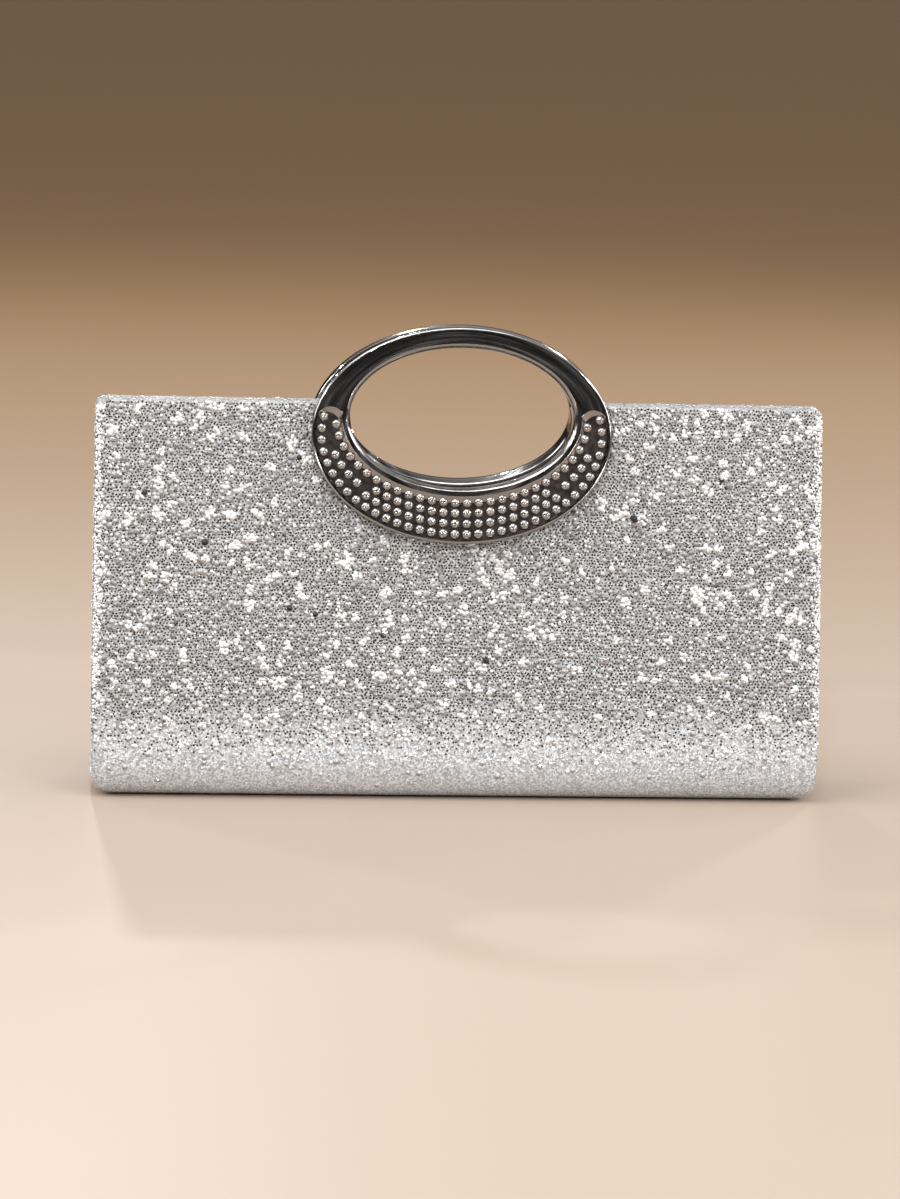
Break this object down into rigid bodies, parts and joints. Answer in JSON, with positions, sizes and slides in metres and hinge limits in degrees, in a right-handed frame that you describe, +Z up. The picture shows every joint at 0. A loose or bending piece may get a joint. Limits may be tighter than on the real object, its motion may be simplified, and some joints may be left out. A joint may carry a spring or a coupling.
{
  "type": "clutch purse",
  "caption": "Evening clutch purse in silver glitter fabric: two stiff walls on a rounded base swing apart, each with an oval ring handle and a beaded crescent.",
  "frame": {"origin": "middle of the purse's outline on the surface that it stands on", "axes": "+X along the width, +Y from the front wall to the rear wall, +Z up"},
  "size_m": [0.25, 0.0444, 0.1615],
  "materials": {
    "glitter_fabric": "coarse silver glitter",
    "satin": "satin",
    "leatherette": "metallic, fine grain",
    "greyboard": "matt",
    "dark_chrome": "polished",
    "bright_silver": "polished",
    "steel": "polished nickel"
  },
  "bodies": {
    "base": {"base_cover": "glitter_fabric", "base_board": "greyboard", "base_lining": "satin", "left_gusset": "leatherette", "right_gusset": "leatherette"},
    "front_wall": {"front_cover": "glitter_fabric", "front_board": "greyboard", "front_lining": "satin", "front_handle_ring": "dark_chrome", "front_bead_strip": "bright_silver", "front_clamp_plate": "steel", "front_clamp_screw_1": "steel", "front_clamp_screw_2": "steel", "front_clamp_screw_3": "steel", "front_clamp_screw_4": "steel", "front_snap_washer_left": "steel", "front_snap_washer_right": "steel", "front_snap_left": "steel", "front_snap_right": "steel"},
    "rear_wall": {"rear_cover": "glitter_fabric", "rear_board": "greyboard", "rear_lining": "satin", "rear_handle_ring": "dark_chrome", "rear_bead_strip": "bright_silver", "rear_clamp_plate": "steel", "rear_clamp_screw_1": "steel", "rear_clamp_screw_2": "steel", "rear_clamp_screw_3": "steel", "rear_clamp_screw_4": "steel", "rear_snap_washer_left": "steel", "rear_snap_washer_right": "steel", "rear_snap_left": "steel", "rear_snap_right": "steel", "slip_pocket": "satin", "left_strap_rivet": "steel", "right_strap_rivet": "steel"},
    "left_link": {"left_strap_link": "steel"},
    "right_link": {"right_strap_link": "steel"}
  },
  "joints": [
    {"name": "front_wall_swing", "type": "hinge", "parent": "base", "child": "front_wall", "pos_m": [0, -0.02042, 0.00686], "axis": [1, 0, 0], "range_deg": [0, 10], "deforming": ["left_gusset", "right_gusset"]},
    {"name": "rear_wall_swing", "type": "hinge", "parent": "base", "child": "rear_wall", "pos_m": [0, 0.02042, 0.00686], "axis": [-1, 0, 0], "range_deg": [0, 10], "deforming": ["left_gusset", "right_gusset"]},
    {"name": "left_link_turn", "type": "hinge", "parent": "rear_wall", "child": "left_link", "pos_m": [-0.083, 0.00139, 0.12666], "axis": [0, -0.9886, -0.1503], "continuous": true},
    {"name": "right_link_turn", "type": "hinge", "parent": "rear_wall", "child": "right_link", "pos_m": [0.083, 0.00139, 0.12666], "axis": [0, -0.9886, -0.1503], "continuous": true}
  ]
}
